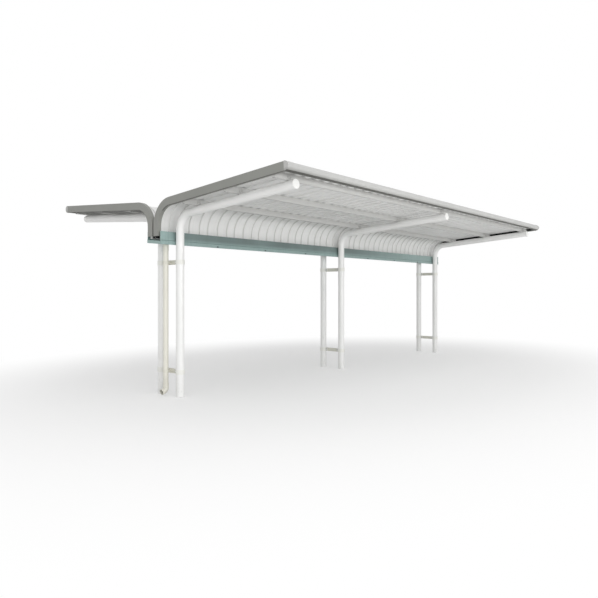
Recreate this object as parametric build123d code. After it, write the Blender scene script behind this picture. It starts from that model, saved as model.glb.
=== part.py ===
from build123d import *
import math
import os

os.makedirs("parts", exist_ok=True)

# Frames: pairs of bent pipes standing back to back along the valley
frame_count = 3
bay_length = 2900
pipe_diameter = 89.1
pipe_wall = 3.2
pipe_bend_radius = 180
post_offset = 168  # post centre from the valley line
arm_reach = 1852  # arm end from the valley line
arm_end_height = 2101  # arm centre at its end
roof_slope = 4.3  # degrees
cap_thickness = 4
cap_plug_depth = 18

# Ties: a flat bar between two pipe clamps, high and low on each frame
low_tie_height = 270
high_tie_drop = 186  # below the gutter
clamp_height = 50
clamp_thickness = 4.5
clamp_ear_length = 30
tie_bar_thickness = 9
tie_bar_end_gap = 2

# Purlins: lipped channels lying across the arms
purlin_eave_setback = 85  # outer purlin from the arm end
purlin_valley_setback = 320  # inner purlin from the post
purlin_height = 60
purlin_flange = 30
purlin_lip = 10
purlin_wall = 2.3
cleat_width = 50
cleat_foot_length = 40
cleat_thickness = 5
cleat_height = 45
cleat_seat_depth = 12

# Roof: sheets that bend down into the valley, edged by trims
roof_end_overhang = 234  # roof past the end frames
roof_overrun = 77  # sheet past the arm end
sheet_thickness = 3
sheet_dip = 24  # sheet below the trim's foot
panels_per_bay = 7
ribs_per_panel = 3
rib_pitch_share = 0.352  # of the panel's width, as the next two
rib_width_share = 0.183
rib_lap_share = 0.028  # first rib past the panel's edge
rib_flank = 7
rib_height = 14
valley_half_gap = 13
trim_lift = 147.2  # trim top above the arm centre line
trim_height = 82
trim_depth = 40
trim_wall = 2.5
trim_bend_radius = 290
trim_upright = 105  # straight foot of the trim below its bend

# Fascia: a round-nosed hollow bar along each eave
fascia_flat = 9
fascia_wall = 3
fascia_cap_thickness = 3

# Valley gutter, whose floor falls towards the front, and its downpipe
gutter_end_setback = 14
gutter_cover = 52  # gutter rim above the trim's foot
gutter_depth = 140
gutter_cross_fall = 24
gutter_wall = 3
gutter_lip_height = 40
gutter_lip_step = 4
gutter_end_height = 32
downpipe_standoff = 66  # downpipe centre beyond the end frame
downpipe_diameter = 56
downpipe_wall = 3
socket_wall = 3
outlet_drop = 8  # pipe stop below the gutter
outlet_socket_depth = 50
elbow_height = 93  # height where the elbow starts to turn
elbow_radius = 45
elbow_turn = 73  # degrees
elbow_socket_depth = 45
elbow_mouth_length = 25
elbow_pipe_gap = 6
clip_height = 30
clip_thickness = 3
clip_tongue_width = 20

# Fits and the overrun of cuts
fit = 0.25
joint_gap = 1
overrun = 10

slope = math.radians(roof_slope)
run = math.cos(slope)
rise = math.sin(slope)
pipe_radius = pipe_diameter / 2
downpipe_radius = downpipe_diameter / 2
drain_radius = downpipe_radius - downpipe_wall
frame_xs = [bay_length * (k - (frame_count - 1) / 2) for k in range(frame_count)]
roof_half_length = frame_xs[-1] + roof_end_overhang
sheet_depth = trim_lift - pipe_radius - purlin_height
panel_width = bay_length / panels_per_bay
roof_panels = panels_per_bay + math.ceil(roof_end_overhang / panel_width)  # on each half
rib_pitch = panel_width * rib_pitch_share
rib_width = panel_width * rib_width_share
rib_lap = panel_width * rib_lap_share
trim_foot = trim_lift - trim_height
downpipe_x = frame_xs[0] - downpipe_standoff

# Section plane of the roof slope: X outwards up the slope, Y square to it
slope_plane = Plane(
    origin=(0, arm_reach, arm_end_height), x_dir=(0, run, rise), z_dir=(1, 0, 0)
)


# Point of the roof section at a depth below the trim top
def roof_point(along, depth):
    lift = trim_lift - depth
    return (
        arm_reach + along * run - lift * rise,
        arm_end_height + along * rise + lift * run,
    )


# Where the sloping line of that depth meets its upright line in the valley
def roof_corner(depth):
    across = valley_half_gap + depth
    along = (across - arm_reach + (trim_lift - depth) * rise) / run
    return roof_point(along, depth)


# Heights that hang from the roof's bend
bend_tangent = trim_bend_radius * math.tan((math.pi / 2 - slope) / 2)
trim_end_height = roof_corner(0)[1] - bend_tangent - trim_upright
sheet_end_height = trim_end_height - sheet_dip
gutter_top = trim_end_height + gutter_cover
gutter_bottom = gutter_top - gutter_depth
tie_heights = (low_tie_height, gutter_bottom - high_tie_drop)


def save(shape, name):
    export_step(shape, f"parts/{name}.step")


# The modelled half is the back one; the front one is its mirror image
def save_pair(shape, name):
    save(shape, f"back_{name}")
    save(mirror(shape, about=Plane.XZ), f"front_{name}")


# Carries a section lying at X zero along X from low to high
def extrude_between(face, low, high):
    return Pos(low, 0, 0) * extrude(face, amount=high - low, dir=(1, 0, 0))


def slope_box(x_low, x_high, y_low, y_high):
    centre = Pos((x_low + x_high) / 2, (y_low + y_high) / 2)
    return centre * Rectangle(x_high - x_low, y_high - y_low)


def tube(outer, inner, low, high):
    return Pos(0, 0, low) * extrude(Circle(outer) - Circle(inner), amount=high - low)


# Bent pipe of one side: a straight post, one bend and a rising arm
arm_root_height = arm_end_height - (arm_reach - post_offset) * math.tan(slope)
pipe_path = Plane.YZ * FilletPolyline(
    (post_offset, 0),
    (post_offset, arm_root_height),
    (arm_reach, arm_end_height),
    radius=pipe_bend_radius,
)
pipe_section = Circle(pipe_radius) - Circle(pipe_radius - pipe_wall)
bent_pipe = sweep(Pos(0, post_offset, 0) * pipe_section, path=pipe_path)
for number, x in enumerate(frame_xs, start=1):
    save_pair(Pos(x, 0, 0) * bent_pipe, f"bent_post_{number}")

# Caps that close the arm ends
arm_end_plane = Plane(origin=(0, arm_reach, arm_end_height), z_dir=(0, run, rise))
cap_disc = extrude(Circle(pipe_radius), amount=cap_thickness)
cap_plug = extrude(Circle(pipe_radius - pipe_wall - fit), amount=-cap_plug_depth)
arm_cap = arm_end_plane * (cap_disc + cap_plug)
save_pair(Compound(children=[Pos(x, 0, 0) * arm_cap for x in frame_xs]), "arm_caps")

# Clamp band: wraps the post and ends in two ears that pinch the tie bar
clamp_inner = pipe_radius + fit
clamp_outer = clamp_inner + clamp_thickness
ear_reach = clamp_outer + clamp_ear_length
ear_width = tie_bar_thickness + 2 * clamp_thickness
ear_block = Pos(0, -ear_reach / 2) * Rectangle(ear_width, ear_reach)
ear_slot = Pos(0, -ear_reach / 2) * Rectangle(tie_bar_thickness, ear_reach + overrun)
clamp_section = Circle(clamp_outer) + ear_block - Circle(clamp_inner) - ear_slot
clamp = extrude(clamp_section, amount=clamp_height / 2, both=True)
back_clamps = [Pos(0, post_offset, z) * clamp for z in tie_heights]
front_clamps = [mirror(band, about=Plane.XZ) for band in back_clamps]
tie_bar_length = 2 * (post_offset - pipe_radius - tie_bar_end_gap)
tie_bar = Box(tie_bar_thickness, tie_bar_length, clamp_height)
for number, x in enumerate(frame_xs, start=1):
    bands = [Pos(x, 0, 0) * band for band in back_clamps + front_clamps]
    bars = [Pos(x, 0, z) * tie_bar for z in tie_heights]
    save(Compound(children=bands), f"post_clamps_{number}")
    save(Compound(children=bars), f"tie_bars_{number}")

# Purlins: lipped channels with the web towards the eave
purlin_half_length = roof_half_length - trim_depth - joint_gap
purlin_top = pipe_radius + purlin_height
web_x = purlin_flange / 2
purlin_section = (
    slope_box(-web_x, web_x, pipe_radius, purlin_top)
    - slope_box(
        -web_x + purlin_wall,
        web_x - purlin_wall,
        pipe_radius + purlin_wall,
        purlin_top - purlin_wall,
    )
    - slope_box(
        -web_x - overrun,
        -web_x + purlin_wall,
        pipe_radius + purlin_lip,
        purlin_top - purlin_lip,
    )
)
outer_purlin_reach = arm_reach - purlin_eave_setback
inner_purlin_reach = post_offset + purlin_valley_setback
purlin_reaches = {
    "inner": inner_purlin_reach,
    "middle": (inner_purlin_reach + outer_purlin_reach) / 2,
    "outer": outer_purlin_reach,
}
for name, reach in purlin_reaches.items():
    section = slope_plane * Pos((reach - arm_reach) / run, 0) * purlin_section
    purlin = extrude_between(section, -purlin_half_length, purlin_half_length)
    save_pair(purlin, f"purlin_{name}")

# Cleats: angles seated on the arms, standing against the purlin webs
seat = pipe_radius - cleat_seat_depth
cleat_leg = slope_box(web_x, web_x + cleat_thickness, seat, pipe_radius + cleat_height)
cleat_foot = slope_box(
    web_x, web_x + cleat_foot_length, seat, pipe_radius + cleat_thickness
)
arm_bar = arm_end_plane * (
    Pos(0, 0, -arm_reach / 2) * Cylinder(pipe_radius + fit, arm_reach + overrun)
)
cleats = []
for reach in purlin_reaches.values():
    section = slope_plane * Pos((reach - arm_reach) / run, 0) * (cleat_leg + cleat_foot)
    cleat = extrude_between(section, -cleat_width / 2, cleat_width / 2) - arm_bar
    cleats += [Pos(x, 0, 0) * cleat for x in frame_xs]
save_pair(Compound(children=cleats), "purlin_cleats")


# Band of the roof section between two depths: slope, bend and upright
def roof_band(top_depth, low_depth, foot):
    lines = []
    for depth in (top_depth, low_depth):
        lines.append(
            FilletPolyline(
                roof_point(roof_overrun, depth),
                roof_corner(depth),
                (valley_half_gap + depth, foot),
                radius=trim_bend_radius - depth,
            )
        )
    ends = [Line(lines[0] @ share, lines[1] @ share) for share in (0, 1)]
    return Plane.YZ * make_face(Curve() + lines + ends)


# Corners of the ribs along the roof: place along X and height above the pan
def rib_corners(spread):
    corners = []
    for panel in range(-roof_panels, roof_panels):
        for rib in range(ribs_per_panel):
            left = panel * panel_width - rib_lap + rib * rib_pitch - spread
            right = left + rib_width + 2 * spread
            corners += [(left, 0), (left + rib_flank, rib_height)]
            corners += [(right - rib_flank, rib_height), (right, 0)]
    return corners


# Height above the pan at a place along X
def rib_level(corners, x):
    for (before, low), (after, high) in zip(corners, corners[1:]):
        if before <= x <= after:
            return low + (high - low) * (x - before) / (after - before)
    return 0


# Ribbed line of the sheet between two places, its ribs widened by a spread
def rib_line(start, end, lift, spread):
    corners = rib_corners(spread)
    inside = [(x, level) for x, level in corners if start < x < end]
    first = (start, rib_level(corners, start))
    last = (end, rib_level(corners, end))
    return [(x, level + lift) for x, level in [first, *inside, last]]


# Roof sheets, one to a bay and side, swept down the slope, the bend and the upright
sheet_start = roof_point(roof_overrun, sheet_depth)
sheet_path = Plane.YZ * FilletPolyline(
    sheet_start,
    roof_corner(sheet_depth),
    (valley_half_gap + sheet_depth, sheet_end_height),
    radius=trim_bend_radius - sheet_depth,
)
eave_plane = Plane(origin=(0, *sheet_start), x_dir=(1, 0, 0), z_dir=(0, -run, -rise))
flank_spread = sheet_thickness * math.tan(math.atan2(rib_height, rib_flank) / 2)
sheet_outer = roof_half_length - trim_wall
bay_spans = {"left": (-1, 0), "right": (0, 1)}
for name, (low, high) in bay_spans.items():
    start = low * sheet_outer + (low + 1) * joint_gap / 2
    end = high * sheet_outer + (high - 1) * joint_gap / 2
    under = rib_line(start, end, 0, 0)
    over = rib_line(start, end, sheet_thickness, flank_spread)
    section = eave_plane * make_face(Polyline(*under, *over[::-1], close=True))
    save_pair(sweep(section, path=sheet_path), f"roof_sheet_{name}")

# Verge trims: channels that follow the roof's bend, open towards the bays
trim_outline = roof_band(0, trim_height, trim_end_height)
trim_inside = roof_band(trim_wall, trim_height - trim_wall, trim_end_height)
trim_x = -roof_half_length
left_trim = extrude_between(trim_outline, trim_x, trim_x + trim_depth) - extrude_between(
    trim_inside, trim_x + trim_wall, trim_x + trim_depth + overrun
)
save_pair(left_trim, "verge_trim_left")
save_pair(mirror(left_trim, about=Plane.YZ), "verge_trim_right")


# Round-nosed outline of the fascia, drawn in by an inset
def fascia_outline(inset):
    back = roof_overrun + inset
    nose = roof_overrun + fascia_flat
    low = trim_foot + inset
    high = trim_lift - inset
    tip = (nose + (high - low) / 2, (low + high) / 2)
    box = Polyline((nose, low), (back, low), (back, high), (nose, high))
    return slope_plane * make_face(box + ThreePointArc((nose, high), tip, (nose, low)))


fascia_half = roof_half_length - fascia_cap_thickness
fascia_section = fascia_outline(0) - fascia_outline(fascia_wall)
save_pair(extrude_between(fascia_section, -fascia_half, fascia_half), "fascia")
fascia_cap = extrude_between(fascia_outline(0), -roof_half_length, -fascia_half)
save_pair(fascia_cap, "fascia_cap_left")
save_pair(mirror(fascia_cap, about=Plane.YZ), "fascia_cap_right")

# Gutter lengths: troughs with a stepped-out lower lip that bears on the posts
gutter_half_length = roof_half_length - gutter_end_setback
lip_half_width = post_offset - pipe_radius - fit
rim_half_width = lip_half_width - gutter_lip_step


# Underside of the gutter's floor, which rises from the front to the back
def floor_height(y):
    return gutter_bottom + gutter_cross_fall * (y / lip_half_width + 1) / 2


# Outline from the front rim down and across to the back rim, drawn in by an inset
def gutter_outline(inset):
    lip = lip_half_width - inset
    rim = rim_half_width - inset
    front_floor = floor_height(-lip) + inset
    back_floor = floor_height(lip) + inset
    front_step = floor_height(-lip_half_width) + gutter_lip_height - inset
    back_step = floor_height(lip_half_width) + gutter_lip_height - inset
    return [
        (-rim, gutter_top),
        (-rim, front_step),
        (-lip, front_step),
        (-lip, front_floor),
        (lip, back_floor),
        (lip, back_step),
        (rim, back_step),
        (rim, gutter_top),
    ]


gutter_line = gutter_outline(0) + gutter_outline(gutter_wall)[::-1]
gutter_section = Plane.YZ * make_face(Polyline(*gutter_line, close=True))
drain = Pos(downpipe_x, 0, floor_height(0)) * Cylinder(drain_radius, gutter_lip_height)
for name, (low, high) in bay_spans.items():
    trough = extrude_between(
        gutter_section,
        low * gutter_half_length + (low + 1) * joint_gap / 2,
        high * gutter_half_length + (high - 1) * joint_gap / 2,
    )
    save(trough - drain, f"gutter_trough_{name}")

# Low plates that close the gutter's ends
end_half_width = rim_half_width - gutter_wall - fit
end_low = gutter_wall + fit
end_high = gutter_wall + gutter_end_height
end_face = Plane.YZ * make_face(
    Polyline(
        (-end_half_width, floor_height(-end_half_width) + end_low),
        (end_half_width, floor_height(end_half_width) + end_low),
        (end_half_width, floor_height(end_half_width) + end_high),
        (-end_half_width, floor_height(-end_half_width) + end_high),
        close=True,
    )
)
left_end = extrude_between(
    end_face, -gutter_half_length, -gutter_half_length + gutter_wall
)
save(left_end, "gutter_end_left")
save(mirror(left_end, about=Plane.YZ), "gutter_end_right")

# Outlet under the gutter's floor, with a socket for the downpipe
socket_inner = downpipe_radius + fit
socket_outer = socket_inner + socket_wall
pipe_stop = gutter_bottom - outlet_drop
collar = tube(socket_outer, drain_radius, pipe_stop, floor_height(lip_half_width))
socket = tube(socket_outer, socket_inner, pipe_stop - outlet_socket_depth, pipe_stop)
above_floor = make_face(
    Polyline(
        (-lip_half_width, floor_height(-lip_half_width)),
        (lip_half_width, floor_height(lip_half_width)),
        (lip_half_width, gutter_top),
        (-lip_half_width, gutter_top),
        close=True,
    )
)
floor_cut = extrude(Plane.YZ * above_floor, amount=gutter_half_length, both=True)
save(Pos(downpipe_x, 0, 0) * (collar + socket - floor_cut), "gutter_outlet")

# Downpipe from the outlet's stop down into the elbow's socket
downpipe = tube(downpipe_radius, drain_radius, elbow_height + elbow_pipe_gap, pipe_stop)
save(Pos(downpipe_x, 0, 0) * downpipe, "downpipe")

# Elbow that turns the water out past the end frame
turn = math.radians(elbow_turn)
tangent = elbow_radius * math.tan(turn / 2)
mouth_reach = tangent + elbow_mouth_length
socket_top = elbow_height + elbow_socket_depth
elbow_path = Plane.XZ * FilletPolyline(
    (0, socket_top),
    (0, elbow_height - tangent),
    (-mouth_reach * math.sin(turn), elbow_height - tangent - mouth_reach * math.cos(turn)),
    radius=elbow_radius,
)
elbow_section = Circle(socket_outer) - Circle(socket_inner)
elbow = sweep(Pos(0, 0, socket_top) * elbow_section, path=elbow_path)
save(Pos(downpipe_x, 0, 0) * elbow, "downpipe_elbow")

# Clips that hold the downpipe to the end frame's tie bars
clip_outer = socket_inner + clip_thickness
tongue_end = downpipe_standoff - tie_bar_thickness / 2
tongue = Pos(tongue_end / 2, 0) * Rectangle(tongue_end, clip_tongue_width)
clip_section = Circle(clip_outer) + tongue - Circle(socket_inner)
clip = extrude(clip_section, amount=clip_height / 2, both=True)
clips = [Pos(downpipe_x, 0, z) * clip for z in tie_heights]
save(Compound(children=clips), "downpipe_clips")
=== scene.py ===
import math

import bpy
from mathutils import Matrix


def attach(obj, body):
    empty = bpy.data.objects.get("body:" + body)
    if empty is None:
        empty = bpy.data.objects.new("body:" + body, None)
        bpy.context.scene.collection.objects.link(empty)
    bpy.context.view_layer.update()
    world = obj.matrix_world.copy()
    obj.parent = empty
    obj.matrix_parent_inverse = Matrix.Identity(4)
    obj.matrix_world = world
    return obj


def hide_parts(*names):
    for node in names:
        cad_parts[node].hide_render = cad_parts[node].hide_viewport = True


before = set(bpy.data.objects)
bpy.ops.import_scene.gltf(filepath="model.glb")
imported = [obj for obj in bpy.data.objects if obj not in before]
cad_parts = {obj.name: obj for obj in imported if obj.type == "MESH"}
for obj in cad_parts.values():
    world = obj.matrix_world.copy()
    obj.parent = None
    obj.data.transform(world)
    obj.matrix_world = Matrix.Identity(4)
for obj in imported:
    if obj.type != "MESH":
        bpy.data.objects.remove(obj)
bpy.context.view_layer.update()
print("frame loaded with", len(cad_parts), "nodes")

# frames and roof section in metres, the same figures as the part's own
roof = {
    "bay": 2.9,
    "frames": 3,
    "slope": math.radians(4.3),
    "armReach": 1.852,
    "armEnd": 2.101,
    "trimLift": 0.1472,  # trim top above the arm's middle line
    "trimHeight": 0.082,
    "sheetDepth": 0.04265,  # sheet underside below the trim top
    "overrun": 0.077,  # sheet past the arm end
    "valleyGap": 0.013,
    "bendRadius": 0.290,
    "halfLength": 3.134,
    "noseFlat": 0.009,  # flat of the fascia before its round nose
    "purlins": 3,
    "firstPurlin": 0.488,  # from the valley line
    "purlinStep": 0.6395,
    "gutterFall": 0.024,  # how much higher the gutter's back wall stands than its front one
}
ribbedSheet = {
    "panelWidth": roof["bay"] / 7,
    "panels": 8,  # on each half, the last one cut by the roof's end
    "ribsAt": (-0.0116, 0.1342, 0.2801),  # left foot of each raised rib in its panel
    "ribWidth": 0.0758,
    "ribSide": 0.007,  # how far a rib's flank leans in
    "ribHeight": 0.014,
    "thickness": 0.0012,
    "inner": 0.0005,
    "outer": 3.1315,
    "foot": 1.7123,
    "bendSteps": 18,
}
quarter = math.pi / 2
run = math.cos(roof["slope"])
rise = math.sin(roof["slope"])
bendTurn = quarter - roof["slope"]
firstFrame = -roof["bay"]
firstPurlin = (roof["firstPurlin"] - roof["armReach"]) / run  # along the slope from the arm end
nextFrame = (roof["bay"], 0, 0)
nextPurlin = (0, roof["purlinStep"], roof["purlinStep"] * rise / run)


def roofPoint(along, depth):  # reach and height of a point of the roof section
    lift = roof["trimLift"] - depth
    return (
        roof["armReach"] + along * run - lift * rise,
        roof["armEnd"] + along * rise + lift * run,
    )


def roofCorner(depth):  # where the sloping line would meet the upright one
    across = roof["valleyGap"] + depth
    along = (across - roof["armReach"] + (roof["trimLift"] - depth) * rise) / run
    return roofPoint(along, depth)


# middle of the fascia's round nose
noseY, noseZ = roofPoint(roof["overrun"] + roof["noseFlat"], roof["trimHeight"] / 2)

# small helpers for modelling
mergeDistance = 0.00002
smoothAngle = math.radians(32)
squarely = 0.95  # how straight a picked face looks along its axis


def clearSelection():
    if bpy.context.object and bpy.context.object.mode == "EDIT":
        bpy.ops.object.mode_set(mode="OBJECT")
    for thing in list(bpy.context.selected_objects):
        thing.select_set(False)
    bpy.context.view_layer.objects.active = None


def pickOnly(piece):
    clearSelection()
    piece.select_set(True)
    bpy.context.view_layer.objects.active = piece


def startPoint(name, place):  # a plane merged to one point, ready to be pulled along
    clearSelection()
    bpy.ops.mesh.primitive_plane_add(size=0.01)
    piece = bpy.context.object
    piece.name = piece.data.name = name
    bpy.ops.object.mode_set(mode="EDIT")
    bpy.ops.mesh.select_all(action="SELECT")
    bpy.ops.mesh.merge(type="CENTER")
    bpy.ops.transform.translate(value=place)
    return piece


def pull(step):
    bpy.ops.mesh.extrude_region_move(TRANSFORM_OT_translate={"value": step})


def selectFaces(piece, test):  # picks faces by their normal
    bpy.ops.object.mode_set(mode="OBJECT")
    mesh = piece.data
    for group in (mesh.vertices, mesh.edges, mesh.polygons):
        group.foreach_set("select", [False] * len(group))
    for face in mesh.polygons:
        face.select = bool(test(face))
    bpy.ops.object.mode_set(mode="EDIT")
    bpy.ops.mesh.select_mode(type="FACE")


def cleanUp(towards=None):  # merges doubles, sets the normals and leaves edit mode
    bpy.ops.mesh.select_all(action="SELECT")
    bpy.ops.mesh.remove_doubles(threshold=mergeDistance)
    bpy.ops.mesh.normals_make_consistent(inside=False)
    bpy.ops.object.mode_set(mode="OBJECT")
    if towards is None:
        return
    faces = bpy.context.object.data.polygons
    if sum(face.normal.dot(towards) * face.area for face in faces) < 0:
        bpy.ops.object.mode_set(mode="EDIT")
        bpy.ops.mesh.select_all(action="SELECT")
        bpy.ops.mesh.flip_normals()
        bpy.ops.object.mode_set(mode="OBJECT")


def addModifier(piece, kind, **settings):
    pickOnly(piece)
    made = piece.modifiers.new(kind.lower(), kind)
    for key, value in settings.items():
        setattr(made, key, value)
    bpy.ops.object.modifier_apply(modifier=made.name)


def thicken(piece, thickness):  # out along the normals
    addModifier(piece, "SOLIDIFY", thickness=thickness, offset=1.0, use_even_offset=True)


def repeat(piece, count, step):
    addModifier(
        piece,
        "ARRAY",
        count=count,
        use_relative_offset=False,
        use_constant_offset=True,
        constant_offset_displace=step,
    )


def mirrorOver(piece, axes):
    addModifier(piece, "MIRROR", use_axis=axes, use_mirror_merge=False)


def mirrorCopy(piece, name, axis):  # a copy on the other side of the middle
    pickOnly(piece)
    bpy.ops.object.duplicate(linked=False)
    other = bpy.context.object
    other.name = other.data.name = name
    size = [1, 1, 1]
    size[axis] = -1
    bpy.ops.object.mode_set(mode="EDIT")
    bpy.ops.mesh.select_all(action="SELECT")
    bpy.ops.transform.resize(value=size, center_override=(0, 0, 0))
    bpy.ops.mesh.flip_normals()
    bpy.ops.object.mode_set(mode="OBJECT")
    return other


def copyToCorners(backRight, stem):  # from the back right corner to the other three
    backLeft = mirrorCopy(backRight, f"{stem}_back_left", 0)
    frontRight = mirrorCopy(backRight, f"{stem}_front_right", 1)
    frontLeft = mirrorCopy(frontRight, f"{stem}_front_left", 0)
    return backRight, backLeft, frontRight, frontLeft


def settle(piece, finish, stands=()):
    pickOnly(piece)
    bpy.ops.object.transform_apply(location=True, rotation=True, scale=True)
    bpy.ops.object.shade_smooth_by_angle(angle=smoothAngle)
    piece.data.materials.clear()
    piece.data.materials.append(finish)
    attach(piece, "root")
    if stands:
        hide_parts(*stands)
    clearSelection()


# takes the traced edge down the slope, round the bend and, with a foot, down into the valley
def runDownRoof(depth, bendSteps, foot=None, bendShare=1.0):
    cornerZ = roofCorner(depth)[1]
    radius = roof["bendRadius"] - depth
    tangent = radius * math.tan(bendTurn / 2)
    low = cornerZ - tangent
    startY, startZ = roofPoint(roof["overrun"], depth)
    cornerY = roof["valleyGap"] + depth
    length = math.hypot(startY - cornerY, startZ - cornerZ) - tangent
    pull((0, -run * length, -rise * length))
    bpy.ops.mesh.spin(
        steps=bendSteps,
        angle=-bendTurn * bendShare,
        center=(0, cornerY + radius, low),
        axis=(1, 0, 0),
    )
    if foot is not None:
        pull((0, 0, foot - low))


# small helpers for the finishes


def tone(red, green, blue):  # a colour as seen on screen, made linear
    parts = [c / 255 for c in (red, green, blue)]
    return [c / 12.92 if c <= 0.04045 else ((c + 0.055) / 1.055) ** 2.4 for c in parts] + [1]


def feed(tree, socket, value):  # a plain value is set, an output is linked
    if isinstance(value, (int, float, list, tuple)):
        socket.default_value = value
    else:
        tree.links.new(value, socket)


def mathNode(tree, what, *values):
    node = tree.nodes.new("ShaderNodeMath")
    node.operation = what
    for socket, value in zip(node.inputs, values):
        feed(tree, socket, value)
    return node.outputs[0]


def multiply(tree, *values):
    total = values[0]
    for value in values[1:]:
        total = mathNode(tree, "MULTIPLY", total, value)
    return total


def rangeNode(tree, value, low, high, toLow=0.0, toHigh=1.0):
    node = tree.nodes.new("ShaderNodeMapRange")
    node.interpolation_type = "SMOOTHSTEP"
    for socket, amount in zip(node.inputs, (value, low, high, toLow, toHigh)):
        feed(tree, socket, amount)
    return node.outputs[0]


def noiseNode(tree, vector, scale, detail, rough=0.55):
    node = tree.nodes.new("ShaderNodeTexNoise")
    feed(tree, node.inputs["Vector"], vector)
    feed(tree, node.inputs["Scale"], scale)
    node.inputs["Detail"].default_value = detail
    node.inputs["Roughness"].default_value = rough
    return node.outputs["Fac"]


def patchNode(tree, place, noise, limits):  # noise, drawn out between its limits
    return rangeNode(tree, noiseNode(tree, place, *noise), *limits)


def mixNode(tree, share, a, b):
    node = tree.nodes.new("ShaderNodeMix")
    node.data_type = "RGBA"
    for spot, value in ((0, share), (6, a), (7, b)):  # factor and the two colours
        feed(tree, node.inputs[spot], value)
    return node.outputs[2]


def objectPlace(tree):
    return tree.nodes.new("ShaderNodeTexCoord").outputs["Object"]


def splitPlace(tree, place):
    split = tree.nodes.new("ShaderNodeSeparateXYZ")
    tree.links.new(place, split.inputs[0])
    return split.outputs


def newGroup(name, inputs, outputs):
    group = bpy.data.node_groups.new(name, "ShaderNodeTree")
    for label, kind, start in inputs:
        socket = group.interface.new_socket(label, in_out="INPUT", socket_type=kind)
        socket.default_value = start
    for label, kind in outputs:
        group.interface.new_socket(label, in_out="OUTPUT", socket_type=kind)
    given = group.nodes.new("NodeGroupInput").outputs
    result = group.nodes.new("NodeGroupOutput").inputs
    return group, given, result


def newLayer(name, label, *more):  # a group that lays one colour over the paint
    inputs = [
        ("Paint", "NodeSocketColor", (0.8, 0.8, 0.8, 1)),
        (label, "NodeSocketColor", (0.3, 0.3, 0.3, 1)),
        ("Amount", "NodeSocketFloat", 0.4),
        *more,
    ]
    outputs = [("Color", "NodeSocketColor"), ("Mask", "NodeSocketFloat")]
    return newGroup(name, inputs, outputs)


def closeLayer(group, given, result, label, mask):
    colour = mixNode(group, mask, given["Paint"], given[label])
    group.links.new(colour, result["Color"])
    group.links.new(mask, result["Mask"])
    return group


# fine ripple of sprayed paint, and its slow change of gloss
skinLook = {
    "rippleDetail": 2.0,
    "slowNoise": (5.0, 4.0),  # scale and detail, here and below
    "slowChange": (0.3, 0.7, -0.06, 0.08),  # noise from and to, what it gives from and to
}


def makePaintSkin(look):
    group, given, result = newGroup(
        "paintSkin",
        [("Ripple size", "NodeSocketFloat", 420.0), ("Gloss", "NodeSocketFloat", 0.35)],
        [("Height", "NodeSocketFloat"), ("Roughness", "NodeSocketFloat")],
    )
    place = objectPlace(group)
    ripple = noiseNode(group, place, given["Ripple size"], look["rippleDetail"])
    change = patchNode(group, place, look["slowNoise"], look["slowChange"])
    group.links.new(ripple, result["Height"])
    group.links.new(mathNode(group, "ADD", given["Gloss"], change), result["Roughness"])
    return group


# dust that lies in patches, and splash near the ground
dustLook = {
    "patchNoise": (3.2, 6.0, 0.62),  # scale, detail and roughness, here and below
    "patchLimits": (0.42, 0.78),
    "patchShare": 0.45,
    "speckNoise": (46.0, 3.0),
    "speckLimits": (0.5, 0.75),
    "splashLeast": 0.25,  # splash between the specks
    "splashFade": (0.0, 1.0, 1.0, 0.0),  # over the splash height
}


def makeYardDust(look):
    splashHeight = ("Splash height", "NodeSocketFloat", 0.2)
    group, given, result = newLayer("yardDust", "Dust", splashHeight)
    place = objectPlace(group)
    patch = patchNode(group, place, look["patchNoise"], look["patchLimits"])
    speck = patchNode(group, place, look["speckNoise"], look["speckLimits"])
    height = splitPlace(group, place)["Z"]
    share = mathNode(group, "DIVIDE", height, given["Splash height"])
    splash = rangeNode(group, share, *look["splashFade"])
    splash = multiply(group, splash, mathNode(group, "ADD", speck, look["splashLeast"]))
    lying = mathNode(group, "ADD", multiply(group, patch, look["patchShare"]), splash)
    mask = mathNode(group, "MINIMUM", multiply(group, lying, given["Amount"]), 1.0)
    return closeLayer(group, given, result, "Dust", mask)


# rain marks drawn out along the fall of the roof or down a wall
rainLook = {"stretch": (26.0, 1.1, 1.6), "noise": (1.0, 5.0, 0.6), "limits": (0.45, 0.75)}


def makeRainMarks(look):
    group, given, result = newLayer("rainMarks", "Mark")
    stretch = group.nodes.new("ShaderNodeMapping")
    stretch.inputs["Scale"].default_value = look["stretch"]
    group.links.new(objectPlace(group), stretch.inputs["Vector"])
    marks = patchNode(group, stretch.outputs[0], look["noise"], look["limits"])
    mask = multiply(group, marks, given["Amount"])
    return closeLayer(group, given, result, "Mark", mask)


# thin worn line along the edges of folded metal
rubLook = {
    "width": 0.003,
    "samples": 4,
    "edge": (0.80, 0.995, 1.0, 0.0),  # plain against rounded normal
    "noise": (34.0, 4.0),
    "limits": (0.35, 0.7),
}


def makeEdgeRub(look):
    width = ("Width", "NodeSocketFloat", look["width"])
    group, given, result = newLayer("edgeRub", "Worn", width)
    rounded = group.nodes.new("ShaderNodeBevel")
    rounded.samples = look["samples"]
    group.links.new(given["Width"], rounded.inputs["Radius"])
    plain = group.nodes.new("ShaderNodeNewGeometry")
    dot = group.nodes.new("ShaderNodeVectorMath")
    dot.operation = "DOT_PRODUCT"
    group.links.new(rounded.outputs[0], dot.inputs[0])
    group.links.new(plain.outputs["Normal"], dot.inputs[1])
    edge = rangeNode(group, dot.outputs["Value"], *look["edge"])
    rubbed = patchNode(group, objectPlace(group), look["noise"], look["limits"])
    mask = multiply(group, edge, rubbed, given["Amount"])
    return closeLayer(group, given, result, "Worn", mask)


# painted shade that darkens the underside of the round nose along the eaves, in soft patches
noseShadeLook = {
    "below": (-0.037, -0.010, 1.0, 0.0),  # from the nose's middle, square to the slope
    "noise": (7.0, 4.0),
    "limits": (0.2, 0.8, 0.85, 1.0),
}


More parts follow.
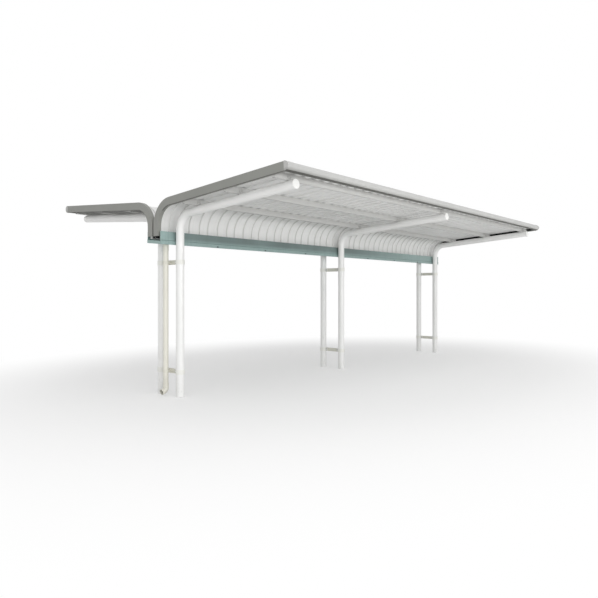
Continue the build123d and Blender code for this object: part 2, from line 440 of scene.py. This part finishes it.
def makeNoseShade(look):
    group, given, result = newLayer("noseShade", "ShadeColour")
    place = objectPlace(group)
    at = splitPlace(group, place)
    out = mathNode(group, "SUBTRACT", mathNode(group, "ABSOLUTE", at["Y"]), noseY)
    up = mathNode(group, "SUBTRACT", at["Z"], noseZ)
    height = mathNode(group, "SUBTRACT", multiply(group, up, run), multiply(group, out, rise))
    under = rangeNode(group, height, *look["below"])
    patch = patchNode(group, place, look["noise"], look["limits"])
    mask = multiply(group, under, patch, given["Amount"])
    return closeLayer(group, given, result, "ShadeColour", mask)


# painted shade in a dark line along one foot of every rib, where the rib's flank shades the
# sheet, most of it on the sheets' bend and below
ribShadeLook = {
    "line": (0.0035, 0.0075, 1.0, 0.0),  # away from the rib's foot
    "bend": (0.24, 0.46, 1.0, 0.05),  # away from the valley line
    "ends": (2.88, 2.94, 1.0, 0.3),  # past the end frames
    "noise": (6.0, 4.0),
    "limits": (0.25, 0.75, 0.7, 1.0),
}


def makeRibShade(look):
    group, given, result = newLayer("ribShade", "RibShadeColour")
    place = objectPlace(group)
    at = splitPlace(group, place)
    across = mathNode(group, "FLOORED_MODULO", at["X"], ribbedSheet["panelWidth"])
    feet = []
    for ribAt in ribbedSheet["ribsAt"]:
        away = mathNode(group, "SUBTRACT", across, ribAt + ribbedSheet["ribWidth"])
        feet.append(mathNode(group, "ABSOLUTE", away))
    nearest = feet[0]
    for foot in feet[1:]:
        nearest = mathNode(group, "MINIMUM", nearest, foot)
    line = rangeNode(group, nearest, *look["line"])
    bend = rangeNode(group, mathNode(group, "ABSOLUTE", at["Y"]), *look["bend"])
    ends = rangeNode(group, mathNode(group, "ABSOLUTE", at["X"]), *look["ends"])
    patch = patchNode(group, place, look["noise"], look["limits"])
    mask = multiply(group, line, bend, ends, patch, given["Amount"])
    return closeLayer(group, given, result, "RibShadeColour", mask)


# painted shade that darkens the gutter's walls towards their upper edge and middle, in patches
wallShadeLook = {
    "crossFall": 0.1,  # the gutter's fall from back to front, as a slope
    "height": (1.690, 1.748, 0.15, 1.0),
    "start": (-3.10, -2.78, 0.0, 1.0),  # along the gutter, from the near end
    "end": (0.0, 2.2, 1.0, 0.1),
    "noise": (1.6, 3.0),
    "limits": (0.3, 0.7, 0.75, 1.0),
}


def makeWallShade(look):
    group, given, result = newLayer("wallShade", "ShadeColour")
    place = objectPlace(group)
    at = splitPlace(group, place)
    level = mathNode(group, "SUBTRACT", at["Z"], multiply(group, at["Y"], look["crossFall"]))
    high = rangeNode(group, level, *look["height"])
    start = rangeNode(group, at["X"], *look["start"])
    middle = multiply(group, start, rangeNode(group, at["X"], *look["end"]))
    patch = patchNode(group, place, look["noise"], look["limits"])
    mask = multiply(group, high, patch, middle, given["Amount"])
    return closeLayer(group, given, result, "ShadeColour", mask)


paintSkin = makePaintSkin(skinLook)
yardDust = makeYardDust(dustLook)
paintLayers = (  # group, its amount and colour in a paint's look, its own colour input
    (makeRainMarks(rainLook), "marks", "mark", "Mark"),
    # the next three paint shade into the colour: under the fascia's nose, along the ribs and on
    # the gutter's walls
    (makeNoseShade(noseShadeLook), "noseShade", "shadeColour", "ShadeColour"),
    (makeRibShade(ribShadeLook), "ribShade", "ribShadeColour", "RibShadeColour"),
    (makeWallShade(wallShadeLook), "wallShade", "shadeColour", "ShadeColour"),
    (makeEdgeRub(rubLook), "rub", "worn", "Worn"),
)


def placeGroup(tree, group, values):
    node = tree.nodes.new("ShaderNodeGroup")
    node.node_tree = group
    for label, value in values.items():
        feed(tree, node.inputs[label], value)
    return node.outputs


def newFinish(name):
    finish = bpy.data.materials.new(name)
    finish.use_nodes = True
    return finish, finish.node_tree, finish.node_tree.nodes["Principled BSDF"]


# what holds for a paint whose own look says nothing else
plainPaint = {
    "dust": tone(150, 146, 134),
    "dustRough": 0.4,  # how much rougher it gets under full dust
    "splash": 0.25,
    "ripple": 420.0,
    "bump": 0.06,
    "bumpDepth": 0.0006,
    "metallic": 0.0,
    "coat": 0.0,
    "specular": 0.5,
}


# paint with its marks, painted shade and worn edges, then dust, and the skin of the spray
def makePaint(name, ownLook):
    look = plainPaint | ownLook
    finish, tree, shader = newFinish(name)
    colour = look["colour"]
    for group, amount, tint, label in paintLayers:
        if amount in look:
            values = {"Paint": colour, label: look[tint], "Amount": look[amount]}
            colour = placeGroup(tree, group, values)["Color"]
    values = {"Paint": colour, "Dust": look["dust"], "Amount": look["dustAmount"]}
    dust = placeGroup(tree, yardDust, values | {"Splash height": look["splash"]})
    skin = placeGroup(tree, paintSkin, {"Ripple size": look["ripple"], "Gloss": look["gloss"]})
    dusty = multiply(tree, dust["Mask"], look["dustRough"])
    rough = mathNode(tree, "ADD", skin["Roughness"], dusty)
    bump = tree.nodes.new("ShaderNodeBump")
    bump.inputs["Strength"].default_value = look["bump"]
    bump.inputs["Distance"].default_value = look["bumpDepth"]
    tree.links.new(skin["Height"], bump.inputs["Height"])
    tree.links.new(dust["Color"], shader.inputs["Base Color"])
    tree.links.new(rough, shader.inputs["Roughness"])
    tree.links.new(bump.outputs["Normal"], shader.inputs["Normal"])
    shader.inputs["Metallic"].default_value = look["metallic"]
    shader.inputs["Coat Weight"].default_value = look["coat"]
    shader.inputs["Specular IOR Level"].default_value = look["specular"]
    return finish


postPaint = makePaint(
    "postPaint",
    {
        "colour": tone(246, 246, 245),
        "dustAmount": 0.16,
        "splash": 0.3,
        "gloss": 0.34,
        "coat": 0.15,
    },
)
capPlastic = makePaint(
    "capPlastic",
    {
        "colour": tone(248, 248, 246),
        "dustAmount": 0.06,
        "gloss": 0.42,
        "ripple": 900.0,
    },
)
tiePaint = makePaint(
    "tiePaint",
    {
        "colour": tone(220, 219, 208),
        "rub": 0.5,
        "worn": tone(234, 234, 226),
        "dustAmount": 0.3,
        "gloss": 0.42,
        "bump": 0.1,
    },
)
clampPaint = makePaint(
    "clampPaint",
    {
        "colour": tone(241, 241, 236),
        "rub": 0.4,
        "worn": tone(247, 247, 244),
        "dustAmount": 0.25,
        "gloss": 0.4,
        "bump": 0.1,
    },
)
purlinPaint = makePaint(
    "purlinPaint",
    {
        "colour": tone(201, 201, 199),
        "rub": 0.3,
        "worn": tone(238, 238, 236),
        "dustAmount": 0.16,
        "gloss": 0.42,
    },
)
sheetPaint = makePaint(
    "sheetPaint",
    {
        "colour": tone(242, 242, 241),
        "marks": 0.22,
        "mark": tone(205, 205, 200),
        # painted shade along one foot of every rib, and its colour
        "ribShade": 0.45,
        "ribShadeColour": tone(160, 158, 152),
        "dustAmount": 0.12,
        "gloss": 0.36,
        "ripple": 260.0,
        "bump": 0.08,
    },
)
vergePaint = makePaint(
    "vergePaint",
    {
        "colour": tone(141, 142, 137),
        "marks": 0.18,
        "mark": tone(120, 121, 116),
        "rub": 0.45,
        "worn": tone(176, 177, 172),
        "dustAmount": 0.15,
        "gloss": 0.4,
        "bump": 0.08,
    },
)
fasciaMetal = makePaint(
    "fasciaMetal",
    {
        "colour": tone(187, 187, 185),
        "marks": 0.2,
        "mark": tone(170, 170, 167),
        # painted shade on the underside of the fascia's nose, and its colour
        "noseShade": 0.4,
        "shadeColour": tone(110, 110, 104),
        "dustAmount": 0.14,
        "gloss": 0.34,
        "coat": 0.1,
    },
)
gutterPaint = makePaint(
    "gutterPaint",
    {
        "colour": tone(150, 174, 171),
        "marks": 0.35,
        "mark": tone(118, 142, 140),
        # painted shade on the gutter's walls, and its colour
        "wallShade": 0.92,
        "shadeColour": tone(96, 110, 109),
        "rub": 0.5,
        "worn": tone(186, 206, 203),
        "dust": tone(110, 116, 110),
        "dustAmount": 0.22,
        "gloss": 0.36,
        "coat": 0.1,
    },
)
pipePlastic = makePaint(
    "pipePlastic",
    {
        "colour": tone(234, 232, 221),
        "marks": 0.18,
        "mark": tone(206, 203, 184),
        "dustAmount": 0.3,
        "splash": 0.3,
        "gloss": 0.46,
        "ripple": 700.0,
    },
)
clipPlastic = makePaint(
    "clipPlastic",
    {
        "colour": tone(228, 226, 214),
        "rub": 0.4,
        "worn": tone(238, 236, 226),
        "dustAmount": 0.3,
        "gloss": 0.44,
        "ripple": 700.0,
    },
)
zincSteel = makePaint(
    "zincSteel",
    {
        "colour": tone(198, 199, 197),
        "rub": 0.6,
        "worn": tone(222, 223, 222),
        "dustAmount": 0.3,
        "gloss": 0.38,
        "metallic": 0.4,
        "bump": 0.12,
    },
)
darkBolt = makePaint(
    "darkBolt",
    {
        "colour": tone(52, 58, 58),
        "rub": 0.4,
        "worn": tone(110, 112, 110),
        "dustAmount": 0.2,
        "gloss": 0.45,
        "metallic": 0.5,
    },
)
# black rubber for the pieces that paint shade: inside the verge trims, under the front trims and
# in the elbow's mouth
shadeBlackRubber = makePaint(
    "shadeBlackRubber",
    {
        "colour": tone(20, 20, 22),
        "dust": tone(90, 88, 82),
        "dustAmount": 0.06,
        "gloss": 0.72,
        "specular": 0.15,
        "ripple": 700.0,
        "bump": 0.3,
    },
)
# dark grey rubber for the strips that paint shade under the fascia's nose and along the verge
# trims' lower edge
shadeStripRubber = makePaint(
    "shadeStripRubber",
    {
        "colour": tone(88, 88, 84),
        "dust": tone(120, 118, 110),
        "dustAmount": 0.2,
        "gloss": 0.6,
        "ripple": 700.0,
        "bump": 0.2,
    },
)
# darker than the gutter: painted shadow along the gutter's steps
stepShadePaint = makePaint(
    "stepShadePaint",
    {
        "colour": tone(116, 138, 135),
        "dust": tone(110, 116, 110),
        "dustAmount": 0.2,
        "gloss": 0.55,
        "ripple": 300.0,
        "bump": 0.2,
    },
)
print("finishes made")

# finishes of the solids, by what their names hold
nodeFinishes = (
    ("bent_post", postPaint),
    ("arm_caps", capPlastic),
    ("post_clamps", clampPaint),
    ("tie_bars", tiePaint),
    ("purlin_", purlinPaint),
    ("roof_sheet", sheetPaint),
    ("verge_trim", vergePaint),
    ("fascia", fasciaMetal),
    ("gutter_outlet", pipePlastic),
    ("gutter_", gutterPaint),
    ("downpipe_clips", clipPlastic),
    ("downpipe", pipePlastic),
)
for nodeName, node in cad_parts.items():
    finish = next(f for key, f in nodeFinishes if key in nodeName)
    node.data.materials.clear()
    node.data.materials.append(finish)

# ribbed roof sheets, one per bay and side


def ribLine(look, low, high):  # corners of the sheet's section: place along X, raised or not
    corners = []
    for panel in range(-look["panels"], look["panels"]):
        for ribAt in look["ribsAt"]:
            left = panel * look["panelWidth"] + ribAt
            right = left + look["ribWidth"]
            corners += [(left, 0), (left + look["ribSide"], 1)]
            corners += [(right - look["ribSide"], 1), (right, 0)]
    inside = [c for c in corners if low < c[0] < high]
    # neither end lies on a flank, so each is level with the corner next to it
    return [(low, inside[0][1])] + inside + [(high, inside[-1][1])]


def makeRibbedSheet(name, look, low, high):
    baseY, baseZ = roofPoint(roof["overrun"], roof["sheetDepth"])
    places = [
        (x, baseY - rise * look["ribHeight"] * up, baseZ + run * look["ribHeight"] * up)
        for x, up in ribLine(look, low, high)
    ]
    sheet = startPoint(name, places[0])
    for before, after in zip(places, places[1:]):
        pull([b - a for a, b in zip(before, after)])
    bpy.ops.mesh.select_all(action="SELECT")
    runDownRoof(roof["sheetDepth"], look["bendSteps"], look["foot"])
    cleanUp(towards=(0, 0, 1))
    thicken(sheet, look["thickness"])
    return sheet


for side, low, high in (
    ("left", -ribbedSheet["outer"], -ribbedSheet["inner"]),
    ("right", ribbedSheet["inner"], ribbedSheet["outer"]),
):
    backSheet = makeRibbedSheet(f"ribbed_sheet_back_{side}", ribbedSheet, low, high)
    frontSheet = mirrorCopy(backSheet, f"ribbed_sheet_front_{side}", 1)
    settle(backSheet, sheetPaint, [f"back_roof_sheet_{side}"])
    settle(frontSheet, sheetPaint, [f"front_roof_sheet_{side}"])
print("ribbed sheets made")

# black seal inside the verge trims, partly a real seal and partly painted shade in their
# channels, and a thin dark strip under them that is painted shade along the trims' lower edge
vergeShadeSeal = {
    "depth": 0.0445,  # top of the strip below the trim top
    "height": 0.0335,
    "width": 0.009,
    "chamfer": 0.002,
    "outer": 3.1312,
    "setBack": 0.001,  # start behind the sheet's eave
    "foot": 1.7370,
    "bendSteps": 18,
    "bendShare": 1.0,
}
vergeEdgeShade = {
    "depth": 0.0820,
    "height": 0.0050,
    "width": 0.0080,
    "chamfer": 0.0012,
    "outer": 3.1335,
    "setBack": 0.001,
    "foot": None,
    "bendSteps": 14,
    "bendShare": 0.4,  # it ends on the bend
}


def makeVergeStrip(name, look):
    startY, startZ = roofPoint(roof["overrun"] - look["setBack"], look["depth"])
    strip = startPoint(name, (look["outer"], startY, startZ))
    chamfer = look["chamfer"]
    straight = look["height"] - 2 * chamfer
    pull((-look["width"] + chamfer, 0, 0))
    pull((-chamfer, rise * chamfer, -run * chamfer))
    pull((0, rise * straight, -run * straight))
    pull((chamfer, rise * chamfer, -run * chamfer))
    pull((look["width"] - chamfer, 0, 0))
    bpy.ops.mesh.select_all(action="SELECT")
    bpy.ops.mesh.edge_face_add()
    runDownRoof(look["depth"], look["bendSteps"], look["foot"], look["bendShare"])
    cleanUp()
    return strip


for stem, look, finish in (
    ("verge_shade_seal", vergeShadeSeal, shadeBlackRubber),
    ("verge_edge_shade", vergeEdgeShade, shadeStripRubber),
):
    for strip in copyToCorners(makeVergeStrip(f"{stem}_back_right", look), stem):
        settle(strip, finish)
print("verge seals made")

# corner sleeves on the fascia
cornerSleeve = {
    "length": 0.1,
    "thickness": 0.0012,
    "stand": 0.0004,
    "endStand": 0.0012,  # past the roof's end
    "setBack": 0.0005,  # edges short of the nose's flat
    "noseSteps": 14,
}


def makeCornerSleeve(name, look):
    startY, startZ = roofPoint(roof["overrun"] + look["setBack"], -look["stand"])
    sleeve = startPoint(name, (roof["halfLength"] + look["endStand"], startY, startZ))
    flat = roof["noseFlat"] - look["setBack"]
    pull((0, run * flat, rise * flat))
    bpy.ops.mesh.spin(
        steps=look["noseSteps"], angle=math.pi, center=(0, noseY, noseZ), axis=(1, 0, 0)
    )
    pull((0, -run * flat, -rise * flat))
    bpy.ops.mesh.select_all(action="SELECT")
    pull((-look["length"], 0, 0))
    cleanUp(towards=(0, 0.2, 0.1))
    thicken(sleeve, look["thickness"])
    return sleeve


backRightSleeve = makeCornerSleeve("fascia_sleeve_back_right", cornerSleeve)
for sleeve in copyToCorners(backRightSleeve, "fascia_sleeve"):
    settle(sleeve, fasciaMetal)
print("fascia sleeves made")

# painted shade: a dark strip under the fascia's nose that stands for the shade there
noseShadeStrip = {
    "half": 3.133,
    "from": math.radians(58),  # where it starts, below the nose's tip
    "turn": math.radians(32),
    "back": 0.016,
    "stand": 0.0006,
    "thickness": 0.0016,
    "steps": 8,
}


def makeNoseShadeStrip(name, look):
    radius = roof["trimHeight"] / 2 + look["stand"]
    lean = look["from"] - roof["slope"]
    start = (-look["half"], noseY + radius * math.cos(lean), noseZ - radius * math.sin(lean))
    strip = startPoint(name, start)
    bpy.ops.mesh.spin(
        steps=look["steps"], angle=look["turn"], center=(0, noseY, noseZ), axis=(1, 0, 0)
    )
    pull((0, -run * look["back"], -rise * look["back"]))
    bpy.ops.mesh.select_all(action="SELECT")
    pull((2 * look["half"], 0, 0))
    cleanUp(towards=(0, 0.1, -1))
    thicken(strip, look["thickness"])
    return strip


backNoseShade = makeNoseShadeStrip("nose_shade_strip_back", noseShadeStrip)
frontNoseShade = mirrorCopy(backNoseShade, "nose_shade_strip_front", 1)
settle(backNoseShade, shadeStripRubber)
settle(frontNoseShade, shadeStripRubber)
print("drip strips made")

# darker beads on the gutter's steps, painted shade standing for the shadow line along them
gutterStepShade = {
    "wall": 0.1192,
    "width": 0.0037,
    "height": 1.6883,
    "rise": 0.0065,
    "half": 3.1195,
    "curve": ((0, 0.45), (0.45, 0.4), (0.55, 0.15)),  # steps back and up, as shares of its size
}


def makeGutterStepShade(name, look, sign, lift):
    out = sign * look["width"]
    stepShade = startPoint(name, (-look["half"], sign * look["wall"], look["height"] + lift))
    pull((0, out, 0))
    for back, up in look["curve"]:
        pull((0, -out * back, look["rise"] * up))
    bpy.ops.mesh.select_all(action="SELECT")
    bpy.ops.mesh.edge_face_add()
    pull((2 * look["half"], 0, 0))
    cleanUp()
    settle(stepShade, stepShadePaint)


makeGutterStepShade("gutter_step_shade_front", gutterStepShade, -1, 0.0)
makeGutterStepShade("gutter_step_shade_back", gutterStepShade, 1, roof["gutterFall"])

# black plugs under the front trims, painted shade: a dark block where the opening below the
# trims' feet lies in shade
endShadePlug = {
    "inner": 0.002,
    "outer": 0.080,
    "low": 1.7135,
    "high": 1.7365,
    "left": -3.1325,
    "right": -3.0980,
    "bevel": 0.003,
    "bevelSteps": 2,
    "panelEdge": 0.004,
    "panelDepth": 0.002,
}


def makeEndShadePlug(name, look):
    clearSelection()
    bpy.ops.mesh.primitive_cube_add(size=1)
    shadePlug = bpy.context.object
    shadePlug.name = shadePlug.data.name = name
    shadePlug.location = (
        (look["left"] + look["right"]) / 2,
        -(look["inner"] + look["outer"]) / 2,
        (look["low"] + look["high"]) / 2,
    )
    shadePlug.scale = (
        look["right"] - look["left"],
        look["outer"] - look["inner"],
        look["high"] - look["low"],
    )
    bpy.ops.object.transform_apply(location=True, rotation=True, scale=True)
    bpy.ops.object.mode_set(mode="EDIT")
    bpy.ops.mesh.select_all(action="SELECT")
    bpy.ops.mesh.bevel(offset=look["bevel"], segments=look["bevelSteps"], affect="EDGES")
    selectFaces(shadePlug, lambda face: face.normal.x < -squarely)
    bpy.ops.mesh.inset(thickness=look["panelEdge"])
    bpy.ops.transform.translate(value=(look["panelDepth"], 0, 0))  # a shallow moulded panel
    bpy.ops.object.mode_set(mode="OBJECT")
    return shadePlug


leftShadePlug = makeEndShadePlug("end_shade_plug_left", endShadePlug)
rightShadePlug = mirrorCopy(leftShadePlug, "end_shade_plug_right", 0)
settle(leftShadePlug, shadeBlackRubber)
settle(rightShadePlug, shadeBlackRubber)
print("gutter beads and end plugs made")

# painted shade: a dark lining inside the elbow's mouth, standing for the shade inside the pipe
elbowShadeLining = {
    "pipeX": -2.966,
    "turnHeight": 0.093,
    "turnRadius": 0.045,
    "turn": math.radians(73),
    "mouth": 0.022,  # straight length up to just inside the mouth
    "radius": 0.0276,
    "thickness": 0.0008,
    "top": 0.003,
    "sides": 28,
    "turnSteps": 10,
}


def makeElbowShadeLining(name, look):
    lean = math.sin(look["turn"])
    fall = math.cos(look["turn"])
    centreX = look["pipeX"] - look["turnRadius"]
    mouthX = centreX + look["turnRadius"] * fall - look["mouth"] * lean
    mouthZ = look["turnHeight"] - look["turnRadius"] * lean - look["mouth"] * fall
    clearSelection()
    bpy.ops.mesh.primitive_circle_add(
        vertices=look["sides"],
        radius=look["radius"],
        location=(mouthX, 0, mouthZ),
        rotation=(0, look["turn"], 0),
    )
    shadeLining = bpy.context.object
    shadeLining.name = shadeLining.data.name = name
    bpy.ops.object.transform_apply(location=True, rotation=True, scale=True)
    bpy.ops.object.mode_set(mode="EDIT")
    bpy.ops.mesh.select_all(action="SELECT")
    pull((look["mouth"] * lean, 0, look["mouth"] * fall))
    bpy.ops.mesh.spin(
        steps=look["turnSteps"],
        angle=look["turn"],
        center=(centreX, 0, look["turnHeight"]),
        axis=(0, 1, 0),
    )
    pull((0, 0, look["top"]))
    cleanUp()
    addModifier(shadeLining, "SOLIDIFY", thickness=look["thickness"], offset=-1.0)
    settle(shadeLining, shadeBlackRubber)


makeElbowShadeLining("elbow_shade_lining", elbowShadeLining)
print("elbow lining made")

# bolts and screws
boltShape = {
    "sides": 6,
    "washerSides": 14,
    "chamfer": 0.16,  # shares of the head's radius and height
    "crown": 0.14,
    "tailEdge": 0.28,
}


def makeBolt(name, look, turn, place):
    clearSelection()
    washer = look["washerHeight"]
    bpy.ops.mesh.primitive_cylinder_add(
        vertices=boltShape["sides"],
        radius=look["head"],
        depth=look["headHeight"],
        location=(0, 0, washer + look["headHeight"] / 2),
    )
    bolt = bpy.context.object
    bolt.name = bolt.data.name = name
    bpy.ops.object.transform_apply(location=True, rotation=True, scale=True)
    selectFaces(bolt, lambda face: face.normal.z > squarely)
    bpy.ops.mesh.inset(thickness=look["head"] * boltShape["chamfer"])
    bpy.ops.transform.translate(value=(0, 0, look["headHeight"] * boltShape["crown"]))
    if "tail" in look:  # the bolt's end standing out of its nut
        bpy.ops.mesh.inset(thickness=look["head"] * boltShape["tailEdge"])
        pull((0, 0, look["tail"]))
    bpy.ops.mesh.select_mode(type="VERT")
    bpy.ops.mesh.primitive_cylinder_add(
        vertices=boltShape["washerSides"],
        radius=look["washer"],
        depth=washer,
        location=(0, 0, washer / 2),
    )
    bpy.ops.object.mode_set(mode="OBJECT")
    bolt.rotation_euler = turn
    bolt.location = place
    bpy.ops.object.transform_apply(location=True, rotation=True, scale=True)
    return bolt


clampBolt = {
    "head": 0.0075,
    "headHeight": 0.0055,
    "washer": 0.0085,
    "washerHeight": 0.0016,
    "earFace": 0.009,
    "ear": 0.1037,  # bolt from the valley line
    "row": 0.026,  # between the two bolts of an ear
    "lowTie": 0.270,
    "highTie": 1.4623,
}
clampNut = clampBolt | {"tail": 0.006}
for name, look, sign in (("clamp_bolts", clampBolt, -1), ("clamp_nuts", clampNut, 1)):
    place = (firstFrame + sign * look["earFace"], look["ear"], look["lowTie"] - look["row"] / 2)
    bolts = makeBolt(name, look, (0, sign * quarter, 0), place)
    repeat(bolts, 2, (0, 0, look["row"]))
    repeat(bolts, 2, (0, 0, look["highTie"] - look["lowTie"]))
    repeat(bolts, roof["frames"], nextFrame)
    mirrorOver(bolts, (False, True, False))
    settle(bolts, zincSteel)

gutterBolt = {
    "head": 0.0075,
    "headHeight": 0.005,
    "washer": 0.009,
    "washerHeight": 0.0015,
    "first": 0.756,
    "pitch": 0.7875,
    "count": 3,  # on each half
    "lip": 0.1232,
    "height": 1.6613,
}
for name, sign, lift in (
    ("gutter_bolts_front", -1, 0.0),
    ("gutter_bolts_back", 1, roof["gutterFall"]),
):
    place = (gutterBolt["first"], sign * gutterBolt["lip"], gutterBolt["height"] + lift)
    bolts = makeBolt(name, gutterBolt, (-sign * quarter, 0, 0), place)
    repeat(bolts, gutterBolt["count"], (gutterBolt["pitch"], 0, 0))
    mirrorOver(bolts, (True, False, False))
    settle(bolts, darkBolt)

roofScrew = {
    "head": 0.006,
    "headHeight": 0.005,
    "washer": 0.0095,
    "washerHeight": 0.0025,
    "beside": 0.035,  # pan middle, left of the panel's second rib
    "panels": 7,  # whole panels on each half
}
panelWidth = ribbedSheet["panelWidth"]
screwX = ribbedSheet["ribsAt"][1] - roofScrew["beside"] - roofScrew["panels"] * panelWidth
screwY, screwZ = roofPoint(firstPurlin, roof["sheetDepth"] - ribbedSheet["thickness"])
screws = makeBolt("roof_screws_back", roofScrew, (roof["slope"], 0, 0), (screwX, screwY, screwZ))
repeat(screws, 2 * roofScrew["panels"], (panelWidth, 0, 0))
repeat(screws, roof["purlins"], nextPurlin)
frontScrews = mirrorCopy(screws, "roof_screws_front", 1)
settle(screws, zincSteel)
settle(frontScrews, zincSteel)

cleatBolt = {
    "head": 0.0085,
    "headHeight": 0.0064,
    "washer": 0.0105,
    "washerHeight": 0.002,
    "side": 0.012,
    "lift": 0.072,  # above the arm's middle line
    "face": 0.020,  # outer face of the cleat from the purlin's middle
}
boltX = firstFrame - cleatBolt["side"]
boltY, boltZ = roofPoint(firstPurlin + cleatBolt["face"], roof["trimLift"] - cleatBolt["lift"])
boltTurn = (roof["slope"] - quarter, 0, 0)
bolts = makeBolt("cleat_bolts_back", cleatBolt, boltTurn, (boltX, boltY, boltZ))
repeat(bolts, 2, (2 * cleatBolt["side"], 0, 0))
repeat(bolts, roof["frames"], nextFrame)
repeat(bolts, roof["purlins"], nextPurlin)
frontBolts = mirrorCopy(bolts, "cleat_bolts_front", 1)
settle(bolts, purlinPaint)
settle(frontBolts, purlinPaint)
print("bolts and screws made")

# floor, light and camera
studioFloor = {
    "size": 120,
    "height": -0.001,
    "roughness": 0.9,
    "specular": 0.1,
    "lighting": tone(226, 226, 225),  # what it throws up at the part
    "seen": tone(252, 252, 252),
    "reach": (4.4, 3.2),  # of the grey round the part, along X and Y
    "fade": (0.75, 1.6, 0.35, 1.0),  # from the grey out to plain white
}
worldLight = 0.66


def seenRays(tree):  # camera rays, and those that metal and glass send on
    path = tree.nodes.new("ShaderNodeLightPath").outputs
    seen = mathNode(tree, "MAXIMUM", path["Is Camera Ray"], path["Is Glossy Ray"])
    return mathNode(tree, "MAXIMUM", seen, path["Is Transmission Ray"])


def makeFloor(look):
    clearSelection()
    bpy.ops.mesh.primitive_plane_add(size=look["size"], location=(0, 0, look["height"]))
    floor = bpy.context.object
    floor.name = "studio_floor"
    finish, tree, shader = newFinish("studioFloor")
    shader.inputs["Roughness"].default_value = look["roughness"]
    shader.inputs["Specular IOR Level"].default_value = look["specular"]
    squeeze = tree.nodes.new("ShaderNodeMapping")
    squeeze.inputs["Scale"].default_value = [1 / reach for reach in look["reach"]] + [1]
    tree.links.new(objectPlace(tree), squeeze.inputs["Vector"])
    distance = tree.nodes.new("ShaderNodeVectorMath")
    distance.operation = "LENGTH"
    tree.links.new(squeeze.outputs[0], distance.inputs[0])
    away = rangeNode(tree, distance.outputs["Value"], *look["fade"])
    seen = seenRays(tree)
    pale = mixNode(tree, seen, look["lighting"], look["seen"])
    tree.links.new(pale, shader.inputs["Base Color"])
    white = tree.nodes.new("ShaderNodeEmission")
    mix = tree.nodes.new("ShaderNodeMixShader")
    tree.links.new(multiply(tree, away, seen), mix.inputs[0])
    tree.links.new(shader.outputs[0], mix.inputs[1])
    tree.links.new(white.outputs[0], mix.inputs[2])
    tree.links.new(mix.outputs[0], tree.nodes["Material Output"].inputs["Surface"])
    floor.data.materials.append(finish)
    clearSelection()


def makeWorld():
    world = bpy.data.worlds.new("studioWorld")
    bpy.context.scene.world = world
    world.use_nodes = True
    tree = world.node_tree
    back = tree.nodes["Background"]
    back.inputs["Color"].default_value = (1, 1, 1, 1)
    strength = rangeNode(tree, seenRays(tree), 0.0, 1.0, worldLight, 1.0)
    tree.links.new(strength, back.inputs["Strength"])


lamps = (  # name, place, what it aims at, size, power and spread
    ("keyLamp", (-4.0, -13.0, 1.7), (0, 0, 1.6), (17.0, 2.2), 630, math.pi),
    ("topLamp", (-3.0, -5.0, 7.5), (0, 0, 2.0), (6.0, 6.0), 90, math.pi),
    ("endLamp", (-9.5, -2.5, 2.2), (-2.0, 0, 1.6), (5.0, 2.4), 45, math.pi),
    ("eaveLamp", (0.8, -3.2, 0.5), (0.8, -2.0, 2.2), (7.0, 0.3), 3.9, math.radians(40)),
)


def makeLamp(name, place, aim, size, power, spread):
    bpy.ops.object.light_add(type="AREA", location=place)
    lamp = bpy.context.object
    lamp.name = name
    lamp.data.shape = "RECTANGLE"
    lamp.data.size, lamp.data.size_y = size
    lamp.data.energy = power
    lamp.data.spread = spread
    along, across, up = [a - b for a, b in zip(aim, place)]
    tilt = math.atan2(math.hypot(along, across), -up)
    lamp.rotation_euler = (tilt, 0, math.atan2(across, along) - quarter)
    clearSelection()


makeFloor(studioFloor)
makeWorld()
for lamp in lamps:
    makeLamp(*lamp)

cameraFit = {
    "place": (-6.598, -5.142, 1.1545),
    "yaw": math.radians(48.6607),
    "lens": 33.57,
    "sensor": 36.0,
    "shiftY": -0.01426,
    "sight": 300,
}
bpy.ops.object.camera_add(
    location=cameraFit["place"], rotation=(quarter, 0, -cameraFit["yaw"])
)
camera = bpy.context.object
camera.data.sensor_width = cameraFit["sensor"]
camera.data.lens = cameraFit["lens"]
camera.data.shift_y = cameraFit["shiftY"]
camera.data.clip_end = cameraFit["sight"]
bpy.context.scene.camera = camera
bpy.context.scene.view_settings.view_transform = "Standard"
print("stage and camera set")
